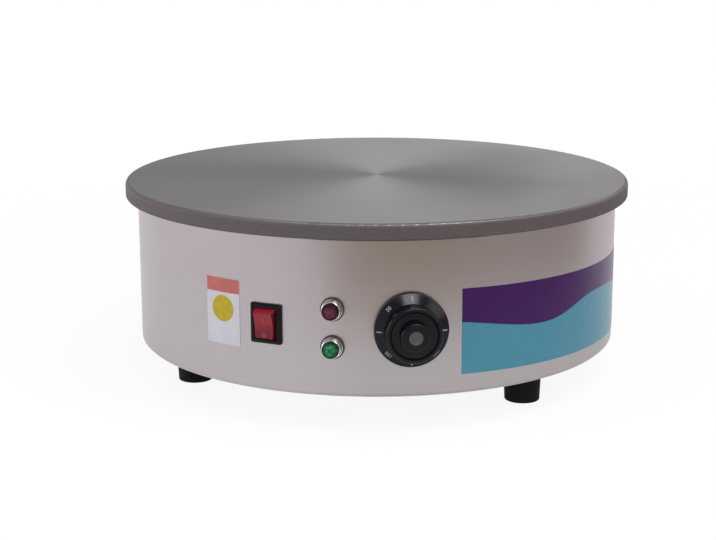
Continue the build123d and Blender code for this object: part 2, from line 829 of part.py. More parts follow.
with BuildPart() as rocker_cap:
    with BuildSketch(rocker_plane):
        Rectangle(rocker_width, rocker_height)
    extrude(amount=rocker_rise, taper=rocker_taper)
    with BuildSketch(side_plane(rocker_plane)):
        Circle(rocker_radius)
        with Locations((rocker_radius, 0), (-rocker_radius - rocker_skirt, 0)):
            Rectangle(2 * rocker_radius, 2 * rocker_height, mode=Mode.SUBTRACT)
    extrude(amount=rocker_width / 2, both=True)
    with BuildSketch(side_plane(rocker_plane)):
        with Locations((rocker_rise - rocker_valley + valley_radius, 0)):
            Circle(valley_radius)
    extrude(amount=rocker_width, both=True, mode=Mode.SUBTRACT)
    with BuildSketch(rocker_plane.offset(-rocker_skirt)):
        Rectangle(rocker_width - 2 * rocker_shell, rocker_height - 4 * rocker_shell)
    extrude(amount=rocker_skirt + rocker_rise - rocker_valley - 2 * rocker_shell, mode=Mode.SUBTRACT)
    with BuildSketch(side_plane(rocker_plane)):
        Circle(trunnion_diameter / 2)
    extrude(amount=rocker_width / 2 + trunnion_length, both=True)
    with BuildSketch(side_plane(rocker_plane)):
        Rectangle(rocker_skirt, 2 * trunnion_diameter)
    extrude(amount=rocker_width / 2 - rocker_shell, both=True, mode=Mode.SUBTRACT)
    plunger_root = rocker_rise - rocker_valley - rocker_shell
    with BuildSketch(rocker_plane.offset(plunger_root)):
        Circle(plunger_radius)
    extrude(amount=plunger_radius - plunger_reach - plunger_root)
    with Locations(at(rocker_plane, 0, 0, plunger_radius - plunger_reach)):
        Sphere(plunger_radius)
save(rocker_cap, "rocker_cap")

# The blade is a flat strip with a round saddle in the middle, which sits over the fulcrum and rocks on it.
with BuildPart() as contact_blade:
    with BuildSketch(side_plane(blade_plane)):
        Rectangle(blade_thickness, blade_length)
        Circle(saddle_outer)
        Circle(saddle_inner, mode=Mode.SUBTRACT)
        with Locations((-blade_thickness / 2 - saddle_outer, 0)):
            Rectangle(2 * saddle_outer, blade_length, mode=Mode.SUBTRACT)
    extrude(amount=blade_width / 2, both=True)
save(contact_blade, "contact_blade")

with BuildPart() as switch_tabs:
    with BuildSketch(switch_plane.offset(switch_tab_end)):
        with Locations(*switch_tab_places):
            Rectangle(tab_width, tab_thickness)
    extrude(amount=tab_length + tab_seat)
save(switch_tabs, "switch_tabs")


# ---------------------------------------------------------------- pilot lamps

lamp_bore = lamp_lens_diameter / 2 + hole_clearance
lamp_bezel_back = lamp_seal_thickness + seat_gap
lamp_nut_seat = -drum_wall - sag(lamp_nut_width / hexagon) - seat_gap

with BuildPart() as lamp_seals:
    for face in lamp_planes.values():
        with BuildSketch(face.offset(-drum_wall)):
            Circle(lamp_seal_diameter / 2)
            Circle(lamp_bore, mode=Mode.SUBTRACT)
        extrude(amount=drum_wall + lamp_seal_thickness)
    with BuildSketch():
        Circle(drum_radius + seat_gap)
    extrude(amount=drum_top, mode=Mode.SUBTRACT)
save(lamp_seals, "lamp_seals")

for colour, face in lamp_planes.items():
    out_axis = Axis(face.origin, face.z_dir)
    with BuildPart() as lamp_bezel:
        with BuildSketch(side_plane(face)):
            with BuildLine():
                Polyline(
                    (lamp_bezel_back, lamp_bore),
                    (lamp_bezel_back, lamp_flange_diameter / 2),
                    (lamp_bezel_back + lamp_flange_thickness, lamp_flange_diameter / 2),
                    (lamp_bezel_back + lamp_flange_thickness, lamp_sleeve_base / 2),
                    (lamp_sleeve_height, lamp_sleeve_tip / 2),
                    (lamp_sleeve_height, lamp_bore),
                    close=True,
                )
            make_face()
        revolve(axis=out_axis)
        rim = lamp_bezel.edges().filter_by(GeomType.CIRCLE).filter_by(
            lambda edge: edge.radius > lamp_bore + hole_clearance
        ).sort_by(out_axis)
        fillet(rim[-1], lamp_sleeve_edge)
    save(lamp_bezel, f"{colour}_lamp_bezel")

    with BuildPart() as lamp_lens:
        with BuildSketch(side_plane(face)):
            with BuildLine():
                dome_start = (lamp_lens_height, lamp_lens_diameter / 2)
                dome_tip = (lamp_lens_height + lamp_dome_height, 0)
                Polyline(dome_tip, (2 * seat_gap, 0), (2 * seat_gap, lamp_lens_diameter / 2), dome_start)
                TangentArc(dome_tip, dome_start, tangent=(0, 1))
            make_face()
        revolve(axis=out_axis)
    save(lamp_lens, f"{colour}_lamp_lens")

    with BuildPart() as lamp_body:
        with BuildSketch(face):
            Circle(lamp_body_diameter / 2)
        extrude(amount=-lamp_body_depth)
    save(lamp_body, f"{colour}_lamp_body")

nuts("lamp_nuts", [Plane(origin=at(face, 0, 0, lamp_nut_seat), x_dir=face.x_dir,
                         z_dir=-face.z_dir) for face in lamp_planes.values()],
     lamp_body_diameter, lamp_nut_width, lamp_nut_thickness)


# ---------------------------------------------------------------- thermostat

tab_reach = thermostat_tab_spacing / 2
thermostat_tab_places = [(x, -thermostat_tab_drop) for x in (-tab_reach, tab_reach)]
shaft_root = bracket_back - shaft_inside

with BuildPart() as thermostat_body:
    with BuildSketch(knob_plane.offset(thermostat_back)):
        RectangleRounded(thermostat_width, thermostat_height, 2 * bracket_thickness)
    extrude(amount=thermostat_depth)
    with BuildSketch(knob_plane.offset(bracket_back)):
        Rectangle(bracket_width, bracket_height)
    extrude(amount=bracket_thickness)
    with BuildSketch(knob_plane.offset(bracket_front)):
        Circle(collar_diameter / 2)
    extrude(amount=collar_proud - bracket_front)
    with BuildSketch(knob_plane.offset(shaft_root)):
        Circle(shaft_diameter / 2 + hole_clearance)
    extrude(amount=collar_proud - shaft_root, mode=Mode.SUBTRACT)
    with BuildSketch(knob_plane.offset(bracket_front)):
        with GridLocations(bracket_screw_spacing, 0, 2, 1):
            Circle(bracket_screw_diameter / 2 + hole_clearance)
    extrude(amount=-2 * bracket_screw_diameter, mode=Mode.SUBTRACT)
    with BuildSketch(knob_plane.offset(thermostat_tab_end)):
        with Locations(*thermostat_tab_places):
            Rectangle(tab_width, tab_thickness)
    extrude(amount=tab_length)
save(thermostat_body, "thermostat_body")

screws("thermostat_screws",
       [Plane(origin=at(knob_plane, x, 0, seat_gap), x_dir=knob_plane.x_dir, z_dir=-knob_plane.z_dir)
        for x in (-bracket_screw_spacing / 2, bracket_screw_spacing / 2)],
       bracket_screw_diameter, 2 * bracket_screw_diameter)

with BuildPart() as thermostat_shaft:
    with BuildSketch(knob_plane.offset(shaft_root + seat_gap)):
        Circle(shaft_diameter / 2)
    extrude(amount=shaft_tip - shaft_root - seat_gap)
save(thermostat_shaft, "thermostat_shaft")

bulb_end = bulb_length / 2
capillary_end = at(knob_plane, 0, thermostat_tab_drop, thermostat_back - seat_gap)
capillary_in = at(knob_plane, 0, thermostat_tab_drop, thermostat_back - 2 * capillary_lead)
under_pan = (pan_bottom + bar_top) / 2

with BuildPart() as bulb_and_capillary:
    with BuildSketch(Plane.YZ.offset(-bulb_end)):
        with Locations((bulb_offset, bulb_height)):
            Circle(bulb_diameter / 2)
    extrude(amount=bulb_length)
    with BuildLine() as capillary:
        FilletPolyline(
            (bulb_end - capillary_diameter, bulb_offset, bulb_height),
            (capillary_place[0], bulb_offset, bulb_height),
            (capillary_place[0], bulb_offset, under_pan),
            (capillary_place[0], -tie_bar_width, under_pan),
            capillary_in,
            capillary_end,
            radius=capillary_bend,
        )
    with BuildSketch(Plane(origin=capillary.line @ 0, z_dir=capillary.line % 0)):
        Circle(capillary_diameter / 2)
    sweep(path=capillary.line)
save(bulb_and_capillary, "bulb_and_capillary")


# ---------------------------------------------------------------- knob

knob_axis = Axis(knob_plane.origin, knob_plane.z_dir)
spigot_radius = grip_diameter / 2 - spigot_inset
grip_ceiling = grip_face - dish_depth - knob_shell

with BuildPart() as knob_skirt:
    with BuildSketch(side_plane(knob_plane)):
        with BuildLine():
            Polyline(
                (skirt_back, skirt_diameter / 2 - knob_shell),
                (skirt_back, skirt_diameter / 2),
                (skirt_back + skirt_rim, skirt_diameter / 2),
                (skirt_face, grip_diameter / 2),
                (skirt_face, spigot_radius + hole_clearance),
                (skirt_face - knob_shell, spigot_radius + hole_clearance),
                (skirt_face - knob_shell, grip_diameter / 2),
                close=True,
            )
        make_face()
    revolve(axis=knob_axis)
save(knob_skirt, "knob_skirt")

with BuildPart() as knob_grip:
    with BuildSketch(side_plane(knob_plane)):
        with BuildLine():
            Polyline(
                (grip_back, spigot_radius),
                (grip_back, grip_diameter / 2),
                (grip_face, grip_diameter / 2),
                (grip_face, grip_diameter / 2 - grip_rim),
                (grip_face - dish_depth, grip_diameter / 2 - grip_rim - dish_depth),
                (grip_face - dish_depth, boss_diameter / 2),
                (boss_face, boss_diameter / 2),
                (boss_face, cap_diameter / 2 + hole_clearance),
                (boss_face - cap_thickness + cap_proud, cap_diameter / 2 + hole_clearance),
                (boss_face - cap_thickness + cap_proud, 0),
                (shaft_tip + seat_gap, 0),
                (shaft_tip + seat_gap, shaft_diameter / 2 + hole_clearance),
                (hub_back, shaft_diameter / 2 + hole_clearance),
                (hub_back, hub_diameter / 2),
                (grip_ceiling, hub_diameter / 2),
                (grip_ceiling, spigot_radius - knob_shell),
                (grip_back - spigot_depth, spigot_radius - knob_shell),
                (grip_back - spigot_depth, spigot_radius),
                close=True,
            )
        make_face()
    revolve(axis=knob_axis)
    rims = knob_grip.edges().filter_by(GeomType.CIRCLE).sort_by(knob_axis)
    fillet([edge for edge in rims if abs(edge.radius - grip_diameter / 2) < seat_gap][-1], grip_edge)
    fillet([edge for edge in rims if abs(edge.radius - boss_diameter / 2) < seat_gap][-1], boss_edge)
    # The set screw's hole runs in from below, through the side of the grip and one side of the hub.
    knob_screw_out = (grip_back + grip_ceiling) / 2
    screw_place = at(knob_plane, 0, 0, knob_screw_out)
    with BuildSketch(Plane(origin=screw_place, x_dir=knob_plane.x_dir, z_dir=(0, 0, -1))):
        Circle(knob_screw_diameter / 2 + hole_clearance)
    extrude(amount=grip_diameter, mode=Mode.SUBTRACT)
save(knob_grip, "knob_grip")

with BuildPart() as knob_screw:
    screw_root = screw_place - Vector(0, 0, shaft_diameter / 2 + seat_gap)
    with BuildSketch(Plane(origin=screw_root, z_dir=(0, 0, -1))):
        Circle(knob_screw_diameter / 2)
    extrude(amount=(hub_diameter - shaft_diameter) / 2 + 1)
    with BuildSketch(Plane(origin=screw_place - Vector(0, 0, hub_diameter / 2 + 1 + seat_gap))):
        RegularPolygon(knob_screw_diameter * socket_ratio / 2, 6, major_radius=False)
    extrude(amount=1.5, mode=Mode.SUBTRACT)
save(knob_screw, "knob_screw")

with BuildPart() as knob_cap:
    with BuildSketch(knob_plane.offset(boss_face - cap_thickness + cap_proud + seat_gap)):
        Circle(cap_diameter / 2)
    extrude(amount=cap_thickness)
save(knob_cap, "knob_cap")


# ---------------------------------------------------------------- cord gland

gland_axis = Axis(gland_plane.origin, gland_plane.z_dir)
gland_bore = gland_seal_diameter / 2 + hole_clearance
gland_locknut_seat = -drum_wall - sag(gland_locknut_width / hexagon) - seat_gap
spigot_end = seat_gap + gland_hex_thickness + gland_spigot_length
seal_back = spigot_end - gland_seal_length
gland_nut_back = seat_gap + gland_hex_thickness + seat_gap
cord_hole = gland_cord_diameter / 2

with BuildPart() as gland_body:
    with BuildSketch(gland_plane.offset(seat_gap)):
        RegularPolygon(gland_hex_width / 2, 6, major_radius=False)
    extrude(amount=gland_hex_thickness)
    with BuildSketch(gland_plane.offset(seat_gap)):
        Circle(gland_thread_diameter / 2)
    extrude(amount=-gland_thread_inside)
    with BuildSketch(gland_plane.offset(seat_gap)):
        Circle(gland_spigot_diameter / 2)
    extrude(amount=gland_hex_thickness + gland_spigot_length)
    with BuildSketch(gland_plane.offset(seal_back)):
        Circle(gland_bore)
    extrude(amount=gland_seal_length, mode=Mode.SUBTRACT)
    with BuildSketch(gland_plane):
        Circle(cord_hole)
    extrude(amount=gland_hex_thickness + gland_thread_inside, both=True, mode=Mode.SUBTRACT)
save(gland_body, "gland_body")

with BuildPart() as gland_seal:
    with BuildSketch(gland_plane.offset(seal_back + seat_gap)):
        Circle(gland_seal_diameter / 2)
        Circle(cord_hole, mode=Mode.SUBTRACT)
    extrude(amount=gland_seal_length)
save(gland_seal, "gland_seal")

with BuildPart() as gland_nut:
    with BuildSketch(gland_plane.offset(gland_nut_back)):
        Circle(gland_nut_diameter / 2)
    extrude(amount=gland_nut_length)
    fillet(gland_nut.edges().sort_by(gland_axis)[-1], gland_nut_edge)
    with BuildSketch(gland_plane.offset(gland_nut_back)):
        Circle(gland_spigot_diameter / 2 + hole_clearance)
    extrude(amount=gland_nut_length - gland_nut_front, mode=Mode.SUBTRACT)
    with BuildSketch(gland_plane.offset(gland_nut_back)):
        Circle(cord_hole)
    extrude(amount=gland_nut_length, mode=Mode.SUBTRACT)
    with BuildSketch(gland_plane.offset(gland_nut_back)):
        with PolarLocations(gland_nut_diameter / 2, 12):
            Circle(gland_nut_edge / 2)
    extrude(amount=gland_nut_length - gland_nut_front - gland_nut_edge, mode=Mode.SUBTRACT)
save(gland_nut, "gland_nut")

nuts("gland_locknut", [Plane(origin=at(gland_plane, 0, 0, gland_locknut_seat),
                             x_dir=gland_plane.x_dir, z_dir=-gland_plane.z_dir)],
     gland_thread_diameter, gland_locknut_width, gland_locknut_thickness)


# ---------------------------------------------------------------- terminal block and earth

block_bottom = base_top + seat_gap
way_radius = wire_diameter / 2 + way_clearance
block_top = block_bottom + block_height

with BuildPart() as terminal_block:
    with BuildSketch(Plane(origin=(0, block_offset, block_bottom))):
        RectangleRounded(block_width, block_depth, way_clearance * 2)
    extrude(amount=block_height)
    with BuildSketch(Plane.XZ.offset(-block_front)):
        with Locations(*[(x, way_z) for x in way_offsets]):
            Circle(way_radius)
    extrude(amount=-block_depth, mode=Mode.SUBTRACT)
    with BuildSketch(Plane(origin=(0, block_offset, block_top))):
        with Locations(*[(x, 0) for x in way_offsets]):
            Circle(clamp_screw_diameter / 2 + hole_clearance)
    extrude(amount=-(block_height - way_height), mode=Mode.SUBTRACT)
    with BuildSketch(Plane(origin=(0, block_offset, block_bottom))):
        with GridLocations(block_screw_spacing, 0, 2, 1):
            Circle(base_screw_diameter / 2 + hole_clearance)
    extrude(amount=base_screw_reach + drum_wall + seat_gap, mode=Mode.SUBTRACT)
save(terminal_block, "terminal_block")

with BuildPart() as clamp_screws:
    with BuildSketch(Plane(origin=(0, block_offset, way_z + wire_diameter / 2 + seat_gap))):
        with Locations(*[(x, 0) for x in way_offsets]):
            Circle(clamp_screw_diameter / 2)
    extrude(amount=clamp_screw_length)
    clamp_screw_top = way_z + wire_diameter / 2 + seat_gap + clamp_screw_length
    with BuildSketch(Plane(origin=(0, block_offset, clamp_screw_top))):
        with Locations(*[(x, 0) for x in way_offsets]):
            Rectangle(clamp_screw_diameter, clamp_screw_diameter / 5)
    extrude(amount=-clamp_screw_diameter / 4, mode=Mode.SUBTRACT)
save(clamp_screws, "clamp_screws")

tag_bottom = base_top + seat_gap
tag_top = tag_bottom + washer_thickness
earth_nut_bottom = tag_top + seat_gap
screws("earth_screw", [Plane(origin=(*earth_place, base_bottom - seat_gap))], earth_diameter,
       earth_nut_bottom + nut_height_ratio * earth_diameter + thread_past_nut - base_bottom)
nuts("earth_nut", [Plane(origin=(*earth_place, earth_nut_bottom))], earth_diameter)


# ---------------------------------------------------------------- wires

way_start = block_offset - block_depth / 2 + way_depth


def way(x):
    """The first two points of a wire that leaves the terminal block."""
    return [(x, way_start, way_z), (x, block_front - 3 * wire_corner, way_z)]


def switch_end(x, y, lead):
    """The last two points of a wire that ends on a tab of the switch."""
    return [at(switch_plane, x, y, switch_tab_end - lead), at(switch_plane, x, y, switch_tab_end - seat_gap)]


def thermostat_end(x, lead):
    """The last two points of a wire that ends on a tab of the thermostat."""
    return [at(knob_plane, x, -thermostat_tab_drop, thermostat_tab_end - lead),
            at(knob_plane, x, -thermostat_tab_drop, thermostat_tab_end - seat_gap)]


tab_x = switch_tab_spacing_x / 2
tab_y = switch_tab_spacing_y / 2
wires("feed_wires",
      [way(x) + [(x + feed_turn[0], feed_turn[1], way_z + feed_turn[2])] + switch_end(end, -tab_y, long_lead)
       for x, end in ((-way_spacing, -tab_x), (0.0, tab_x))],
      wire_diameter, wire_corner)

wires("switched_wire",
      [switch_end(tab_x, tab_y, middle_lead)[::-1] + thermostat_end(-tab_reach, middle_lead)],
      wire_diameter, wire_corner / 2)

outer_pin = leg_place(outer_rings[0], pin_end - seat_gap)
inner_pin = leg_place(inner_rings[0], pin_end - seat_gap)
under_pins = Vector(0, 0, -3 * wire_corner)
feed_route = thermostat_end(tab_reach, middle_lead)[::-1]
feed_route += [feed_passing, outer_pin + under_pins, outer_pin]
return_route = switch_end(-tab_x, tab_y, return_lead)[::-1]
return_route += [*return_passing, inner_pin + under_pins, inner_pin]
wires("element_feed_wire", [feed_route], wire_diameter, wire_corner)
wires("element_return_wire", [return_route], wire_diameter, wire_corner)

with BuildPart() as earth_wire:
    tag_x = earth_place[0] - tag_length
    tag_wire_z = tag_bottom + wire_diameter / 2
    with BuildSketch(Plane(origin=(*earth_place, tag_bottom))):
        Circle(tag_width / 2)
        with Locations((-tag_length / 2, 0)):
            Rectangle(tag_length, tag_width * 0.6)
        Circle(earth_diameter / 2 + hole_clearance, mode=Mode.SUBTRACT)
    extrude(amount=washer_thickness)
    with BuildLine() as route:
        FilletPolyline(
            (way_spacing, way_start, way_z),
            (way_spacing, block_front - 2 * wire_corner, way_z),
            (way_spacing + 2 * wire_corner, earth_place[1] - wire_corner, tag_wire_z),
            (tag_x - wire_corner, earth_place[1], tag_wire_z),
            (tag_x + wire_diameter, earth_place[1], tag_wire_z),
            radius=wire_corner / 3,
        )
    with BuildSketch(Plane(origin=route.line @ 0, z_dir=route.line % 0)):
        Circle(wire_diameter / 2)
    sweep(path=route.line)
save(earth_wire, "earth_wire")


def lamp_start(colour, x, lead):
    """The first two points of a lead that leaves the back of a lamp."""
    face = lamp_planes[colour]
    return [at(face, x, 0, -lamp_body_depth - seat_gap), at(face, x, 0, -lamp_body_depth - lead)]


half_spacing = lamp_lead_spacing / 2
on_switch_tab = switch_tab_end + tab_length / 2
on_thermostat_tab = thermostat_tab_end + tab_length / 2
tab_surface = tab_thickness / 2 + seat_gap
red_routes = [
    lamp_start("red", side * half_spacing, lead)
    + [at(switch_plane, -side * tab_x, tab_y + rise, on_switch_tab),
       at(switch_plane, -side * tab_x, tab_y + tab_surface, on_switch_tab)]
    for side, lead, rise in ((-1, short_lead, low_loop), (1, middle_lead, high_loop))
]
green_routes = [
    lamp_start("green", side * half_spacing, lead)
    + [at(knob_plane, end, -thermostat_tab_drop - drop, on_thermostat_tab),
       at(knob_plane, end, -thermostat_tab_drop - tab_surface, on_thermostat_tab)]
    for side, end, lead, drop in ((-1, tab_reach, middle_lead, high_loop),
                                  (1, -tab_reach, short_lead, low_loop))
]
wires("lamp_leads", red_routes + green_routes, lead_diameter, lead_corner)


# ---------------------------------------------------------------- films on the drum

stripe_middle = stripe_start + stripe_sweep / 2
film_inner = drum_radius + seat_gap
film_outer = film_inner + film_thickness


def film(name, middle, outline):
    """A thin film on the drum, inside an outline seen from straight out at its middle angle."""
    with BuildPart() as skin:
        with BuildSketch(Plane.XY.offset(drum_bottom)):
            Circle(film_outer)
            Circle(film_inner, mode=Mode.SUBTRACT)
        extrude(amount=drum_top - drum_bottom)
        with BuildSketch(wall_plane(middle, 0, -drum_radius)):
            with BuildLine():
                for curve in outline:
                    if len(curve) > 2:
                        Spline(*curve)
                    else:
                        Line(*curve)
            make_face()
        extrude(amount=2 * drum_radius, mode=Mode.INTERSECT)
    save(skin, name)


def seen(angle, height, middle):
    """Where a point of the drum wall is seen, from straight out at the middle angle."""
    return (drum_radius * sin(radians(angle - middle)), height)


stripe_end = stripe_start + stripe_sweep
stripe_top = stripe_bottom + stripe_height
wave = [seen(stripe_start + turn, stripe_bottom + rise, stripe_middle) for turn, rise in wave_points]
for name, edge in (("stripe_upper", stripe_top), ("stripe_lower", stripe_bottom)):
    corners = [wave[-1], seen(stripe_end, edge - stripe_fall, stripe_middle),
               seen(stripe_start, edge, stripe_middle), wave[0]]
    film(name, stripe_middle, [wave, *zip(corners, corners[1:])])

label_half = label_width / 2
label_top = label_bottom + label_height
label_corners = [(-label_half, label_bottom), (label_half, label_bottom), (label_half, label_top),
                 (-label_half, label_top)]
film("label_sticker", label_angle, list(zip(label_corners, label_corners[1:] + label_corners[:1])))
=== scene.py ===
import json
import math

import bmesh
import bpy
from mathutils import Matrix, Vector


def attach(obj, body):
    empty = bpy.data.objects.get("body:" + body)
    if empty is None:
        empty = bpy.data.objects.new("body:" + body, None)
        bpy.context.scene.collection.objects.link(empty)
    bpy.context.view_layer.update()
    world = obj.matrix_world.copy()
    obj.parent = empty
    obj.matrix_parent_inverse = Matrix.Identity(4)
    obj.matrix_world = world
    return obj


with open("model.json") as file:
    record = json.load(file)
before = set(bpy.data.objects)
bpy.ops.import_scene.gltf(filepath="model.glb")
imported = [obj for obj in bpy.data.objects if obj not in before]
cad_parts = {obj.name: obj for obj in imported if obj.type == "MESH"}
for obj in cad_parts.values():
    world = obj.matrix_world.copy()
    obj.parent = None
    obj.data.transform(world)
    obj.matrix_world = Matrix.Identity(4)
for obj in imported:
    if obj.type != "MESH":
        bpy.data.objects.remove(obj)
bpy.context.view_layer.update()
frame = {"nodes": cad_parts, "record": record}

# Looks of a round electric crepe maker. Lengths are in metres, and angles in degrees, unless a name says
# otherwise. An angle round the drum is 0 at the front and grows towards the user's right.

MM = 0.001

# Places on the drum and the plate, as the frame has them
DRUM_RADIUS = 190.5 * MM
PLATE_TOP = 155.0 * MM
PLATE_RADIUS = 200.0 * MM
PLATE_ROUND = 3.0 * MM  # of its upper edge
PLATE_SIDE_LOW = 146.0 * MM  # its side stands upright above this
FILM_FACE = 0.25 * MM  # the sticker's front, out from the drum
KNOB_ANGLE, KNOB_HEIGHT = 20.95, 77.5 * MM
LAMP_ANGLE, LAMP_HEIGHTS = 4.3, {"red": 91.8 * MM, "green": 64.2 * MM}
LENS_RADIUS, LENS_OUT = 6.2 * MM, 9.0 * MM
SWITCH_ANGLE, SWITCH_HEIGHT = -10.6, 77.8 * MM
LABEL_ANGLE, LABEL_BOTTOM = -21.9, 57.5 * MM
LABEL_WIDTH, LABEL_TALL = 30.4 * MM, 49.2 * MM

# The knob's skirt is a cone that rises towards the grip
SKIRT_OUTER, SKIRT_OUTER_OUT = 26.6 * MM, 3.9 * MM
SKIRT_INNER, SKIRT_INNER_OUT = 20.0 * MM, 6.7 * MM

# The rocker, drawn off, with a shallow valley across its face
ROCKER_PIVOT_OUT = -0.45 * MM
ROCKER_TILT = 8.0
ROCKER_FLOOR_OUT = 5.0 * MM
VALLEY_RADIUS = 32.16 * MM

# ---------------------------------------------------------------- places and meshes

DIGIT_TALL = 0.7  # a digit's height over its font's size
DIGIT_BOLD = 0.02  # how much a digit's strokes are widened, over its height


def wall(angle, height, out=0.0):
    """A frame on the drum wall: x to the user's right, y up and z outward."""
    turn = math.radians(angle)
    reach = DRUM_RADIUS + out
    axes = Matrix(((math.cos(turn), 0, math.sin(turn)), (math.sin(turn), 0, -math.cos(turn)), (0, 1, 0)))
    place = Vector((reach * math.sin(turn), -reach * math.cos(turn), height))
    return Matrix.Translation(place) @ axes.to_4x4()


def direction(angle):
    """The level direction out of the drum at an angle round it."""
    turn = math.radians(angle)
    return Vector((math.sin(turn), -math.cos(turn), 0))


def piece(name, body, mesh, material):
    """Puts a finished mesh on a body and gives it its finish."""
    obj = bpy.data.objects.new(name, mesh)
    bpy.context.collection.objects.link(obj)
    mesh.materials.clear()
    mesh.materials.append(material)
    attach(obj, body)


def as_mesh(bm, name):
    """The finished mesh of a bmesh."""
    mesh = bpy.data.meshes.new(name)
    bm.to_mesh(mesh)
    bm.free()
    return mesh


def closed(bm, name):
    """The finished mesh of a closed bmesh, with its faces turned outward."""
    bmesh.ops.recalc_face_normals(bm, faces=bm.faces)
    return as_mesh(bm, name)


def circle(bm, radius, height, steps):
    """A loop of new points round the z axis."""
    turns = [2 * math.pi * i / steps for i in range(steps)]
    return [bm.verts.new((radius * math.cos(turn), radius * math.sin(turn), height)) for turn in turns]


def bridge(bm, first, second):
    """Faces between two loops that have as many points."""
    for i in range(len(first)):
        j = (i + 1) % len(first)
        bm.faces.new((first[i], second[i], second[j], first[j]))


def lettering(text, height):
    """The mesh of a short number, centred, with its thickness along z from -0.5 to 0.5."""
    curve = bpy.data.curves.new("number", "FONT")
    curve.body = text
    curve.size = height / DIGIT_TALL
    curve.align_x = "CENTER"
    curve.align_y = "CENTER"
    curve.extrude = 0.5
    curve.offset = height * DIGIT_BOLD
    curve.resolution_u = 6
    holder = bpy.data.objects.new("number", curve)
    bpy.context.collection.objects.link(holder)
    mesh = bpy.data.meshes.new_from_object(holder.evaluated_get(bpy.context.evaluated_depsgraph_get()))
    bpy.data.objects.remove(holder)
    bpy.data.curves.remove(curve)
    return mesh


def bar(width, height, steps=1):
    """A flat bar mesh, centred, with its thickness along z from -0.5 to 0.5 and cuts across its height."""
    bm = bmesh.new()
    rows = []
    for i in range(steps + 1):
        y = (i / steps - 0.5) * height
        rows.append([[bm.verts.new((x * width, y, z)) for x in (-0.5, 0.5)] for z in (-0.5, 0.5)])
    for (lower_a, upper_a), (lower_b, upper_b) in zip(rows, rows[1:]):
        bm.faces.new((upper_a[0], upper_a[1], upper_b[1], upper_b[0]))
        bm.faces.new((lower_a[0], lower_b[0], lower_b[1], lower_a[1]))
        bm.faces.new((lower_a[0], upper_a[0], upper_b[0], lower_b[0]))
        bm.faces.new((lower_a[1], lower_b[1], upper_b[1], upper_a[1]))
    for lower, upper in (rows[0], rows[-1]):
        bm.faces.new((lower[0], lower[1], upper[1], upper[0]))
    return closed(bm, "bar")


def ring(outer, inner, cuts=1, steps=48):
    """A flat ring mesh with its thickness along z from -0.5 to 0.5, cut into so many narrower rings."""
    bm = bmesh.new()
    radii = [inner + (outer - inner) * i / cuts for i in range(cuts + 1)]
    profile = [(r, 0.5) for r in radii] + [(r, -0.5) for r in reversed(radii)]
    loops = [circle(bm, r, z, steps) for r, z in profile]
    for a, b in zip(loops, loops[1:] + loops[:1]):
        bridge(bm, a, b)
    return closed(bm, "ring")


def shaped(mesh, bend):
    """A flat mesh with each point moved by bend(x, y, z)."""
    bm = bmesh.new()
    bm.from_mesh(mesh)
    bpy.data.meshes.remove(mesh)
    for vert in bm.verts:
        vert.co = bend(*vert.co)
    return closed(bm, "shaped")


# ---------------------------------------------------------------- materials

NOISE_LOW, NOISE_HIGH = 0.3, 0.7  # most values of a noise lie between these
FINER = 8  # how much finer a finish's gloss and surface are than its colour


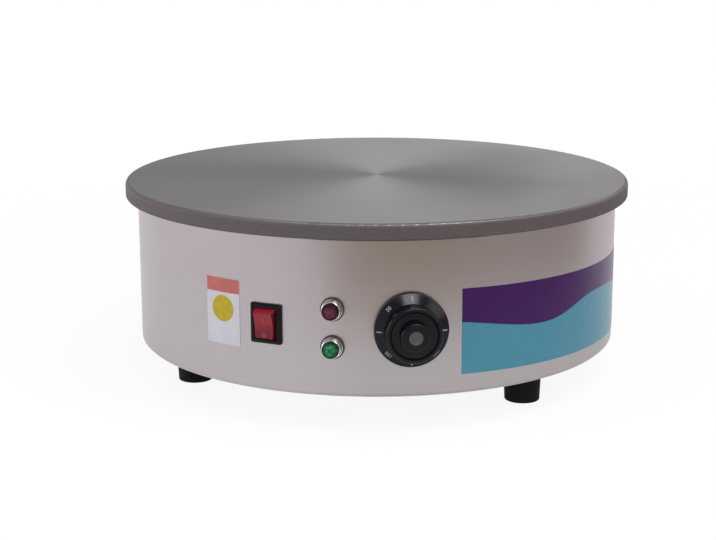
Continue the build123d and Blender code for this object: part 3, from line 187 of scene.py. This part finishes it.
class Nodes:
    """A short way to write the nodes of a material or of the world."""

    def __init__(self, owner):
        owner.use_nodes = True
        self.owner = owner
        self.tree = owner.node_tree
        self.shader = self.tree.nodes.get("Principled BSDF")

    def add(self, kind, values=(), **settings):
        """A new node, with its inputs linked to outputs or set to plain values."""
        node = self.tree.nodes.new("ShaderNode" + kind)
        for key, value in settings.items():
            setattr(node, key, value)
        for key, value in dict(values).items():
            if isinstance(value, bpy.types.NodeSocket):
                self.tree.links.new(value, node.inputs[key])
            else:
                node.inputs[key].default_value = value
        return node

    def join(self, output, name):
        """Links an output to an input of the shader."""
        self.tree.links.new(output, self.shader.inputs[name])

    def fix(self, **sockets):
        """Sets inputs of the shader to plain values."""
        for key, value in sockets.items():
            self.shader.inputs[key.replace("_", " ")].default_value = value

    def number(self, operation, *values):
        """The result of a maths node."""
        return self.add("Math", dict(enumerate(values)), operation=operation).outputs["Value"]

    def vector(self, operation, *values):
        """The result of a vector maths node."""
        node = self.add("VectorMath", dict(enumerate(values)), operation=operation)
        return node.outputs["Value" if operation in ("LENGTH", "DISTANCE", "DOT_PRODUCT") else "Vector"]

    def place(self, scale=(1, 1, 1)):
        """Places in the frame, each axis scaled."""
        coord = self.add("TexCoord").outputs["Object"]
        return self.add("Mapping", {"Vector": coord, "Scale": scale}).outputs["Vector"]

    def noise(self, where, scale, detail=3.0, rough=0.5):
        """Noise at a scale per metre."""
        values = {"Vector": where, "Scale": scale, "Detail": detail, "Roughness": rough}
        return self.add("TexNoise", values).outputs["Fac"]

    def spread(self, value, low, high, start=NOISE_LOW, end=NOISE_HIGH):
        """A value that goes from low, where the one given is at start, to high, where it is at end."""
        values = {"Value": value, "From Min": start, "From Max": end, "To Min": low, "To Max": high}
        return self.add("MapRange", values).outputs["Result"]

    def ramp(self, value, start=NOISE_LOW, end=NOISE_HIGH):
        """A value that goes from 0, where the one given is at start, to 1, where it is at end."""
        return self.spread(value, 0.0, 1.0, start, end)

    def blend(self, share, first, second):
        """A mix of two colours, each an output or a plain colour."""
        first, second = ((*side, 1) if isinstance(side, tuple) else side for side in (first, second))
        return self.add("Mix", {"Factor": share, "A": first, "B": second}, data_type="RGBA").outputs["Result"]

    def mix(self, share, first, second):
        """A mix of two shaders."""
        return self.add("MixShader", {"Fac": share, 1: first, 2: second}).outputs["Shader"]

    def bump(self, height, distance, **sockets):
        """The surface's normal where a height from 0 to 1 raises it by up to a distance."""
        return self.add("Bump", {"Height": height, "Distance": distance, **sockets}).outputs["Normal"]

    def round_axis(self):
        """Turns the grain of the gloss round the upright axis."""
        self.join(self.add("Tangent", direction_type="RADIAL", axis="Z").outputs["Tangent"], "Tangent")


def material_nodes(name):
    """The nodes of a new material."""
    return Nodes(bpy.data.materials.new(name))


def shade(colour, factor):
    """A colour made darker or lighter."""
    return tuple(min(1.0, channel * factor) for channel in colour)


def finish(name, colour, *, vary=0.06, scale=60.0, stretch=(1, 1, 1), rough=0.4, rough_vary=0.05,
           bump=0.02 * MM, **sockets):
    """A material whose colour, gloss and surface change gently over the piece, at a scale set per metre."""
    nodes = material_nodes(name)
    where = nodes.place(stretch)
    share = nodes.ramp(nodes.noise(where, scale))
    fine = nodes.noise(where, scale * FINER, 2.0)
    nodes.join(nodes.blend(share, shade(colour, 1 - vary), shade(colour, 1 + vary)), "Base Color")
    nodes.join(nodes.spread(fine, rough - rough_vary, rough + rough_vary), "Roughness")
    nodes.join(nodes.bump(fine, bump), "Normal")
    nodes.fix(**sockets)
    return nodes.owner


# The plate. Its top and round edge are turned, and its side is left as cast.
LATHE_RINGS, CAST_PITS = 1400.0, 900.0  # per metre
TURNED_BLEND = 0.4 * MM  # from the flat top to the round edge
SIDE_BLEND = 0.1 * MM  # below the side, where the mesh's own normal takes over
TURNED_LOW = PLATE_TOP - 0.48 * PLATE_ROUND  # all cast below this
TURNED_HIGH = PLATE_TOP - 0.30 * PLATE_ROUND  # and all turned above this
WEAR_AND_PAINTED_HIGHLIGHT_SIDE = direction(25.0)  # where spatulas have polished the edge most, and where its lighter colour is a painted highlight
WEAR_AND_PAINTED_HIGHLIGHT_REACH = (0.55, 0.88)  # cosines of the angles from there where the polish and the painted highlight end and where they are full
PLATE_ROUGH = (0.36, 0.42)
EDGE_ROUGHER, WORN_SMOOTHER, SIDE_ROUGHER = 0.24, 0.15, 0.30


def round_edge(nodes, outward, radius, height):
    """The exact normal of the plate's top, round edge and side, and the mesh's own normal below them."""
    out = nodes.ramp(radius, PLATE_RADIUS - PLATE_ROUND, PLATE_RADIUS)
    up = nodes.ramp(height, PLATE_TOP - PLATE_ROUND, PLATE_TOP)
    level = nodes.add("VectorMath", {0: outward, "Scale": out}, operation="SCALE").outputs["Vector"]
    exact = nodes.vector("ADD", level, nodes.add("CombineXYZ", {"Z": up}).outputs["Vector"])
    own = nodes.add("NewGeometry").outputs["Normal"]
    upper = nodes.ramp(height, PLATE_SIDE_LOW - SIDE_BLEND, PLATE_SIDE_LOW)
    normal = nodes.add("Mix", {"Factor": upper, "A": own, "B": exact}, data_type="VECTOR").outputs["Result"]
    return nodes.vector("NORMALIZE", normal)


def cast_plate():
    """Seasoned cast iron: faint rings from the lathe and cloudy patches on top, a pitted side, and an upper
    edge that is polished by use at the front, where its lighter colour is also a painted highlight."""
    nodes = material_nodes("seasoned_cast_iron")
    where = nodes.place()
    flat = nodes.vector("MULTIPLY", where, (1, 1, 0))
    radius = nodes.vector("LENGTH", flat)
    outward = nodes.vector("NORMALIZE", flat)
    height = nodes.add("SeparateXYZ", {"Vector": where}).outputs["Z"]
    lathe = {"W": radius, "Scale": LATHE_RINGS, "Detail": 2.0}
    rings = nodes.add("TexNoise", lathe, noise_dimensions="1D").outputs["Fac"]
    cloud = nodes.noise(where, 9.0, 4.0)
    pits = nodes.noise(where, CAST_PITS, 2.0)

    edge = PLATE_RADIUS - PLATE_ROUND
    on_round = nodes.ramp(radius, edge, edge + TURNED_BLEND)
    on_top = nodes.ramp(height, TURNED_LOW, TURNED_HIGH)
    painted_highlight_and_wear = nodes.ramp(nodes.vector("DOT_PRODUCT", outward, WEAR_AND_PAINTED_HIGHLIGHT_SIDE), *WEAR_AND_PAINTED_HIGHLIGHT_REACH)

    patches = nodes.ramp(nodes.number("ADD", cloud, nodes.spread(rings, -0.04, 0.04)))
    machined = nodes.blend(patches, (0.128, 0.123, 0.129), (0.151, 0.146, 0.154))
    cast = nodes.blend(nodes.ramp(pits), (0.121, 0.103, 0.105), (0.152, 0.133, 0.135))
    # The polished edge's colour: partly the polish's own lighter tone, and partly a painted highlight where
    # the edge faces the front right.
    worn_colour_and_painted_highlight = nodes.blend(pits, (0.212, 0.204, 0.207), (0.255, 0.245, 0.248))
    turned = nodes.blend(nodes.number("MULTIPLY", on_round, painted_highlight_and_wear), machined, worn_colour_and_painted_highlight)
    nodes.join(nodes.blend(on_top, cast, turned), "Base Color")

    on_edge = nodes.number("MULTIPLY", on_round, on_top)
    change = nodes.spread(painted_highlight_and_wear, EDGE_ROUGHER, -WORN_SMOOTHER, 0.0, 1.0)
    rough = nodes.number("MULTIPLY_ADD", on_edge, change, nodes.spread(cloud, *PLATE_ROUGH))
    nodes.join(nodes.number("ADD", rough, nodes.spread(on_top, SIDE_ROUGHER, 0.0, 0.0, 1.0)), "Roughness")

    ringed = nodes.bump(rings, 0.003 * MM, Normal=round_edge(nodes, outward, radius, height))
    nodes.join(nodes.bump(pits, 0.01 * MM, Normal=ringed), "Normal")
    nodes.fix(Metallic=0.75, Anisotropic=0.6)
    nodes.round_axis()
    return nodes.owner


BRUSHED = (6.0, 6.0, 2600.0)  # streaks per metre: long round the drum and fine up it


def brushed_drum():
    """Stainless sheet brushed round the drum: fine level streaks in its colour, gloss and surface."""
    nodes = material_nodes("brushed_stainless")
    streaks = nodes.noise(nodes.place(BRUSHED), 1.0, 3.0, 0.6)
    cloud = nodes.noise(nodes.place(), 7.0, 2.0)
    share = nodes.ramp(nodes.number("ADD", streaks, nodes.spread(cloud, -0.08, 0.08)))
    nodes.join(nodes.blend(share, (0.440, 0.410, 0.415), (0.465, 0.435, 0.44)), "Base Color")
    nodes.join(nodes.spread(streaks, 0.28, 0.32), "Roughness")
    nodes.join(nodes.bump(streaks, 0.0003 * MM), "Normal")
    nodes.fix(Metallic=1.0, Anisotropic=0.7)
    nodes.round_axis()
    return nodes.owner


# The lamps' lenses
PRISMS = 420.0  # per metre
# Each lens is darkened towards its rim as painted shade, from the first radius below to the second, down to
# the share of its colour given after them.
RIM_START, RIM_FULL = 0.50 * LENS_RADIUS, 0.88 * LENS_RADIUS
RIM_PAINTED_SHADE = 0.15


def lens(name, height, dark, light):
    """A faceted translucent lens, unlit: small prisms inside, and painted shade that darkens it towards the
    rim.
    """
    nodes = material_nodes(name)
    where = nodes.place()
    away = nodes.vector("DISTANCE", where, wall(LAMP_ANGLE, height, LENS_OUT).translation)
    cells = nodes.add("TexVoronoi", {"Vector": where, "Scale": PRISMS}, distance="EUCLIDEAN")
    prism = cells.outputs["Distance"]
    share = nodes.spread(prism, 1.0, 0.0, 0.1, 0.75)
    inner = nodes.blend(share, dark, light)
    # The prisms' colours darkened, as painted shade at the rim
    outer = nodes.blend(share, shade(dark, RIM_PAINTED_SHADE), shade(light, RIM_PAINTED_SHADE))
    nodes.join(nodes.blend(nodes.ramp(away, RIM_START, RIM_FULL), inner, outer), "Base Color")
    nodes.join(nodes.spread(prism, 0.10, 0.18, 0.0, 1.0), "Roughness")
    nodes.join(nodes.bump(prism, 0.35 * MM), "Normal")
    nodes.fix(Specular_IOR_Level=0.12)
    return nodes.owner


# The rocker. Its red is painted with light and shade: it deepens from the upper height to the lower one, as
# if lit from above, and towards faces that look aside, as painted shade on its flanks.
PAINTED_SHADE_BELOW, PAINTED_LIGHT_ABOVE = SWITCH_HEIGHT - 6 * MM, SWITCH_HEIGHT + 2 * MM
PAINTED_FLANK_SHADE = (0.3, 0.8)


def rocker_red():
    """Translucent red moulding, with painted shade that makes it deeper in its lower half and at its flanks.
    """
    nodes = material_nodes("rocker_red")
    where = nodes.place()
    height = nodes.add("SeparateXYZ", {"Vector": where}).outputs["Z"]
    grain = nodes.ramp(nodes.noise(where, 110.0))
    fine = nodes.noise(where, 900.0, 2.0)
    # The upper red is painted lit, the lower red is painted shaded, and the deepest red is the painted shade
    # of the flanks.
    upper = nodes.blend(grain, (0.222, 0.011, 0.019), (0.26, 0.014, 0.024))
    lower = nodes.blend(grain, (0.115, 0.006, 0.012), (0.142, 0.009, 0.016))
    painted_shade_red = nodes.blend(grain, (0.045, 0.002, 0.004), (0.060, 0.003, 0.006))
    painted_light_from_above = nodes.ramp(height, PAINTED_SHADE_BELOW, PAINTED_LIGHT_ABOVE)
    across = wall(SWITCH_ANGLE, SWITCH_HEIGHT).col[0].to_3d()
    aside = nodes.vector("DOT_PRODUCT", nodes.add("NewGeometry").outputs["Normal"], across)
    painted_flank_mask = nodes.ramp(nodes.number("ABSOLUTE", aside), *PAINTED_FLANK_SHADE)
    nodes.join(nodes.blend(painted_flank_mask, nodes.blend(painted_light_from_above, lower, upper), painted_shade_red), "Base Color")
    nodes.join(nodes.spread(fine, 0.19, 0.25), "Roughness")
    nodes.join(nodes.bump(fine, 0.008 * MM), "Normal")
    nodes.fix(Specular_IOR_Level=0.25, Coat_Weight=0.1, Coat_Roughness=0.08)
    return nodes.owner


def film(name, colour, vary, specular):
    """Printed film with faint level streaks."""
    return finish(name, colour, vary=vary, rough=0.30, scale=12, stretch=(3, 3, 60), bump=0.0,
                  Specular_IOR_Level=specular)


def ink(name, colour, scale, **sockets):
    """Printing ink with a fine grain."""
    return finish(name, colour, vary=0.08, rough=0.4, scale=scale, bump=0.004 * MM, **sockets)


def sleeve(name, colour, vary=0.06):
    """The silicone sleeve of a wire."""
    return finish(name, colour, vary=vary, rough=0.5, scale=200)


materials = {
    "cast_plate": cast_plate(),
    "drum_steel": brushed_drum(),
    "base_steel": finish("mill_sheet", (0.42, 0.42, 0.43), rough=0.38, scale=20, stretch=(8, 1, 1),
                         Metallic=1.0),
    "plated_steel": finish("zinc_plate", (0.50, 0.50, 0.48), rough=0.32, scale=120, Metallic=1.0),
    "pan_steel": finish("aluminised_sheet", (0.40, 0.40, 0.40), rough=0.45, scale=90, Metallic=1.0),
    "foot_rubber": finish("foot_rubber", (0.004, 0.004, 0.0045), vary=0.25, rough=0.70, rough_vary=0.08,
                          scale=150, bump=0.04 * MM, Specular_IOR_Level=0.15),
    "knob_black": finish("knob_plastic", (0.0034, 0.0035, 0.0065), vary=0.15, rough=0.20, rough_vary=0.03,
                         scale=120, bump=0.006 * MM, Specular_IOR_Level=0.22),
    "knob_silver": finish("foil_silver", (0.12, 0.12, 0.13), rough=0.30, scale=200, Metallic=1.0),
    "switch_black": finish("switch_plastic", (0.005, 0.004, 0.005), vary=0.15, rough=0.32, scale=150,
                           bump=0.01 * MM, Specular_IOR_Level=0.14),
    "switch_red": rocker_red(),
    "lamp_chrome": finish("lamp_chrome", (0.72, 0.72, 0.72), vary=0.03, rough=0.10, rough_vary=0.03,
                          scale=100, bump=0.004 * MM, Metallic=1.0),
    "lamp_red": lens("lens_red", LAMP_HEIGHTS["red"], (0.050, 0.014, 0.022), (0.140, 0.030, 0.052)),
    "lamp_green": lens("lens_green", LAMP_HEIGHTS["green"], (0.012, 0.085, 0.038), (0.036, 0.255, 0.110)),
    "lamp_housing": finish("lamp_housing", (0.70, 0.70, 0.65), rough=0.5),
    "heater_sheath": finish("heater_sheath", (0.16, 0.15, 0.14), rough=0.5, vary=0.2, Metallic=0.9),
    "ceramic": finish("bead_ceramic", (0.76, 0.73, 0.66), rough=0.6, scale=200),
    "insulation": finish("pressed_fibre", (0.70, 0.67, 0.60), rough=0.9, vary=0.12, scale=250, bump=0.3 * MM),
    "brass": finish("plain_brass", (0.62, 0.44, 0.18), rough=0.3, scale=150, Metallic=1.0),
    "thermostat_case": finish("pressed_case", (0.46, 0.46, 0.44), rough=0.4, Metallic=1.0),
    "capillary_copper": finish("drawn_copper", (0.62, 0.32, 0.17), rough=0.32, scale=150, Metallic=1.0),
    "gland_nylon": finish("gland_nylon", (0.020, 0.020, 0.021), vary=0.15, rough=0.45, scale=150),
    "gland_rubber": finish("gland_rubber", (0.030, 0.030, 0.030), vary=0.2, rough=0.7, scale=150),
    "block_white": finish("block_plastic", (0.72, 0.71, 0.66), rough=0.45),
    "wire_brown": sleeve("sleeve_brown", (0.20, 0.07, 0.03), 0.15),
    "wire_white": sleeve("sleeve_white", (0.68, 0.68, 0.66)),
    "wire_earth": sleeve("sleeve_green", (0.24, 0.46, 0.06), 0.12),
    "stripe_purple": film("film_purple", (0.030, 0.0025, 0.063), 0.04, 0.22),
    "stripe_teal": film("film_teal", (0.044, 0.178, 0.248), 0.03, 0.28),
    "sticker_white": finish("label_paper", (0.50, 0.49, 0.54), vary=0.03, rough=0.4, scale=60,
                            bump=0.004 * MM, Specular_IOR_Level=0.25),
}
print_red = ink("print_red", (0.42, 0.115, 0.10), 250, Specular_IOR_Level=0.25)
print_amber = ink("print_amber", (0.41, 0.31, 0.012), 250, Specular_IOR_Level=0.25)
print_faint = ink("print_faint", (0.30, 0.075, 0.080), 400, Specular_IOR_Level=0.25)
print_white = ink("print_white", (0.24, 0.25, 0.27), 400)

slots = {part["node"]: part["material_slot"] for part in frame["record"]["subparts"]}
for node, obj in frame["nodes"].items():
    for holder in obj.material_slots:
        holder.material = materials[slots[node]]
    if not obj.material_slots:
        obj.data.materials.append(materials[slots[node]])

# ---------------------------------------------------------------- marks on the knob's skirt

PRINT = 0.10 * MM  # the thickness of the marks on the knob and the rocker
MARK_RISE = 0.25  # how far a mark's middle stands above the surface, over its thickness
MARK_STEP = 45.0
MARKS = (None, "50", None, "150", None, "250", None)  # dashes and numbers, against the clock from the top
NUMBER_TALL = 2.8 * MM
DASH_WIDE, DASH_LONG = 0.8 * MM, 4.0 * MM

knob_frame = wall(KNOB_ANGLE, KNOB_HEIGHT)
skirt_run = SKIRT_OUTER - SKIRT_INNER
skirt_rise = SKIRT_INNER_OUT - SKIRT_OUTER_OUT
skirt_slope = math.hypot(skirt_run, skirt_rise)


def on_skirt(turn, down):
    """Bends a flat mark onto the skirt: turn is its place against the clock, and down how far it is from the
    grip."""

    def bend(x, y, z):
        along = down + y
        lift = PRINT * (z + MARK_RISE)
        radius = SKIRT_INNER + along * skirt_run / skirt_slope + lift * skirt_rise / skirt_slope
        out = SKIRT_INNER_OUT - along * skirt_rise / skirt_slope + lift * skirt_run / skirt_slope
        around = x / radius - math.radians(turn)
        return knob_frame @ Vector((radius * math.sin(around), radius * math.cos(around), out))

    return bend


for i, words in enumerate(MARKS):
    flat_mark = lettering(words, NUMBER_TALL) if words else bar(DASH_WIDE, DASH_LONG)
    mark = shaped(flat_mark, on_skirt(i * MARK_STEP, skirt_slope / 2))
    piece(f"skirt_mark_{i}", "knob", mark, print_white)

# ---------------------------------------------------------------- marks on the rocker

ON_AWAY, OFF_AWAY = 3.6 * MM, -7.0 * MM  # up from the middle
ON_TALL, OFF_RADIUS = 2.8 * MM, 1.5 * MM
STROKE = 0.5 * MM

rocker_tilt = Matrix.Rotation(math.radians(ROCKER_TILT), 4, "X")
rocker_frame = wall(SWITCH_ANGLE, SWITCH_HEIGHT, ROCKER_PIVOT_OUT) @ rocker_tilt


def on_rocker(away):
    """Bends a flat mark into the valley across the rocker's face."""

    def bend(x, y, z):
        up = away + y
        dip = VALLEY_RADIUS - math.sqrt(VALLEY_RADIUS**2 - up**2)
        return rocker_frame @ Vector((x, up, ROCKER_FLOOR_OUT + dip + PRINT * (z + MARK_RISE)))

    return bend


on_mark, off_mark = bar(STROKE, ON_TALL, 6), ring(OFF_RADIUS, OFF_RADIUS - STROKE)
piece("rocker_mark_on", "rocker", shaped(on_mark, on_rocker(ON_AWAY)), print_faint)
piece("rocker_mark_off", "rocker", shaped(off_mark, on_rocker(OFF_AWAY)), print_faint)

# ---------------------------------------------------------------- print on the label

PRINT_FILM = 0.06 * MM
BAND_TALL, BAND_INSET = 10.4 * MM, 0.2 * MM
DISC_RADIUS, DISC_DOWN = 9.8 * MM, 22.7 * MM  # its middle, down from the label's top
DISC_HOLE = 0.01 * MM  # too small to see


def on_drum(angle, height, lift):
    """Bends a flat print round the drum."""

    def bend(x, y, z):
        turn = math.radians(angle) + x / DRUM_RADIUS
        reach = DRUM_RADIUS + lift + PRINT_FILM * z
        return Vector((reach * math.sin(turn), -reach * math.cos(turn), height + y))

    return bend


label_top = LABEL_BOTTOM + LABEL_TALL
band = bar(BAND_TALL, LABEL_WIDTH - 2 * BAND_INSET, 16)
band.transform(Matrix.Rotation(math.pi / 2, 4, "Z"))  # its cuts run across its width
band = shaped(band, on_drum(LABEL_ANGLE, label_top - BAND_TALL / 2 - BAND_INSET, FILM_FACE))
piece("label_band", "body", band, print_red)
disc = shaped(ring(DISC_RADIUS, DISC_HOLE, 8), on_drum(LABEL_ANGLE, label_top - DISC_DOWN, FILM_FACE))
piece("label_disc", "body", disc, print_amber)

# ---------------------------------------------------------------- floor, light and camera

scene = bpy.context.scene
scene.view_settings.view_transform = "Standard"

WHITE = (1, 1, 1, 1)
FLOOR_RADIUS, FLOOR_STEPS, FLOOR_RINGS = 3.0, 64, 12
FLOOR_WHITE = 0.90
LIFT = 0.90  # how far the floor that is seen is lifted to white near the object, so its shadow stays light
LIFT_REACH = (0.35, 1.2)  # where that starts to grow and where the floor is all white

# The table: all of the floor that gives light or shows in reflections. It ends in a soft edge, and in
# reflections it is lifted to white at the left and to a dimmer tone at the right.
TABLE_EDGE, TABLE_FADE = 0.40, 0.25
TABLE_LIFT = 0.6
TABLE_LEFT, TABLE_RIGHT = (1.0, 0.98, 1.0), (0.78, 0.76, 0.76)
TABLE_TURN = (0.36, 0.66)  # from left to right, as the pairs below

# The room in reflections. A pair of numbers is where a change starts and ends, by how far a direction lies
# along an axis: 0 is square to it and 1 is along it.
ROOM_AT = 60.0  # the angle, from the front to the right, of its dimmer side
ROOM_EDGE = (0.29, 0.40)
STUDIO_WHITE = (0.98, 0.94, 0.99)
ROOM_BROWN, ROOM_RIGHT, ROOM_TURN = (0.45, 0.365, 0.29), (0.475, 0.41, 0.385), (0.60, 0.95)
UPPER, WALL_END = (0.36, 0.35, 0.36), (0.30, 0.50)
CEILING, PANEL_EDGE = (0.85, 0.85, 0.85), (0.84, 0.94)
PLAIN_LIGHT = (0.60, 0.60, 0.61, 1)  # what lights the object from all sides

room_direction = direction(ROOM_AT)


def seen_directly(nodes, path):
    """1 for what the camera sees, also through a clear piece."""
    return nodes.number("MAXIMUM", path["Is Camera Ray"], path["Is Transmission Ray"])


def floor_white():
    """White that fades into the white background, and carries the object's soft shadow."""
    nodes = material_nodes("floor_white")
    where = nodes.place()
    cloud = nodes.ramp(nodes.noise(where, 2.0, 2.0))
    nodes.join(nodes.blend(cloud, (FLOOR_WHITE,) * 3, (FLOOR_WHITE + 0.01,) * 3), "Base Color")
    nodes.fix(Roughness=0.9)
    path = nodes.add("LightPath").outputs
    away = nodes.vector("LENGTH", where)
    plain = nodes.shader.outputs["BSDF"]
    white = nodes.add("Emission", {"Color": WHITE}).outputs["Emission"]
    lifted = nodes.mix(nodes.spread(away, LIFT, 1.0, *LIFT_REACH), plain, white)

    aside = nodes.vector("DOT_PRODUCT", nodes.vector("NORMALIZE", where), room_direction)
    tone = nodes.blend(nodes.ramp(aside, *TABLE_TURN), TABLE_LEFT, TABLE_RIGHT)
    glow = nodes.add("Emission", {"Color": tone}).outputs["Emission"]
    lit = nodes.mix(nodes.spread(path["Is Glossy Ray"], 0.0, TABLE_LIFT, 0.0, 1.0), plain, glow)
    gone = nodes.add("BsdfTransparent").outputs["BSDF"]
    table = nodes.mix(nodes.ramp(away, TABLE_EDGE, TABLE_EDGE + TABLE_FADE), lit, gone)

    output = nodes.tree.nodes["Material Output"]
    nodes.tree.links.new(nodes.mix(seen_directly(nodes, path), table, lifted), output.inputs["Surface"])
    return nodes.owner


def floor():
    """A round white floor."""
    bm = bmesh.new()
    radii = [FLOOR_RADIUS * (i / FLOOR_RINGS) ** 2 for i in range(1, FLOOR_RINGS + 1)]
    loops = [circle(bm, radius, 0, FLOOR_STEPS) for radius in radii]
    bm.faces.new(loops[0])
    for inner, outer in zip(loops, loops[1:]):
        bridge(bm, inner, outer)
    obj = bpy.data.objects.new("floor", as_mesh(bm, "floor"))
    obj.data.materials.append(floor_white())
    bpy.context.collection.objects.link(obj)


def studio_world():
    """A white background and a plain even light. Reflections show a room that is white behind and at the
    left, dimmer and warmer at the front right, and dim higher up, with a pale panel overhead."""
    scene.world = bpy.data.worlds.new("studio")
    nodes = Nodes(scene.world)
    nodes.tree.nodes.clear()
    path = nodes.add("LightPath").outputs
    toward = nodes.add("TexCoord").outputs["Generated"]
    along = nodes.add("SeparateXYZ", {"Vector": toward}).outputs
    dim = nodes.ramp(nodes.vector("DOT_PRODUCT", toward, room_direction), *ROOM_EDGE)
    room = nodes.blend(nodes.ramp(along["X"], *ROOM_TURN), ROOM_BROWN, ROOM_RIGHT)
    walls = nodes.blend(dim, STUDIO_WHITE, room)
    upper = nodes.blend(nodes.ramp(along["Z"], *WALL_END), walls, UPPER)
    ceiling = nodes.blend(nodes.ramp(along["Z"], *PANEL_EDGE), upper, CEILING)
    reflected, plain, white = (nodes.add("Background", {"Color": colour}).outputs["Background"]
                               for colour in (ceiling, PLAIN_LIGHT, WHITE))
    lit = nodes.mix(path["Is Glossy Ray"], plain, reflected)
    output = nodes.add("OutputWorld")
    nodes.tree.links.new(nodes.mix(seen_directly(nodes, path), lit, white), output.inputs["Surface"])


def softbox(name, place, target, width, height, power):
    """A rectangular lamp that faces a point."""
    lamp = bpy.data.lights.new(name, "AREA")
    lamp.shape = "RECTANGLE"
    lamp.size, lamp.size_y = width, height
    lamp.energy = power
    obj = bpy.data.objects.new(name, lamp)
    bpy.context.collection.objects.link(obj)
    obj.location = place
    obj.rotation_euler = (Vector(target) - Vector(place)).to_track_quat("-Z", "Y").to_euler()


floor()
studio_world()
# Each lamp's place, target, width, height and power in watts
softbox("key_above", (0.77, -0.50, 1.89), (0, 0, 0.1), 1.2, 1.2, 17)
softbox("side_left", (-1.93, -0.69, 0.50), (0, 0, 0.08), 1.0, 0.9, 12)
softbox("side_right", (1.7, -0.9, 0.8), (0, 0, 0.08), 0.6, 1.4, 6)
softbox("strip_front", (0.62, -1.215, 0.84), (0.07, -0.18, 0.08), 0.5, 0.18, 4.5)
softbox("back_right", (0.55, 1.95, 0.72), (0, 0, 0.1), 1.6, 0.7, 2.6)
softbox("back_left", (-1.5, 1.3, 0.4), (0, 0, 0.08), 1.0, 0.8, 4)

# The camera, as it was fitted to the photograph
CAMERA_PLACE = (0.3062, -1.2562, 0.3796)
CAMERA_TILT, CAMERA_TURN = 76.78, 13.7
CAMERA_LENS_MM, SENSOR_MM, CAMERA_SHIFT = 81.9, 36.0, -0.0261

camera = bpy.data.cameras.new("camera")
camera.lens = CAMERA_LENS_MM
camera.sensor_width = SENSOR_MM
camera.shift_x = CAMERA_SHIFT
eye = bpy.data.objects.new("camera", camera)
bpy.context.collection.objects.link(eye)
eye.location = CAMERA_PLACE
eye.rotation_euler = (math.radians(CAMERA_TILT), 0, math.radians(CAMERA_TURN))
scene.camera = eye
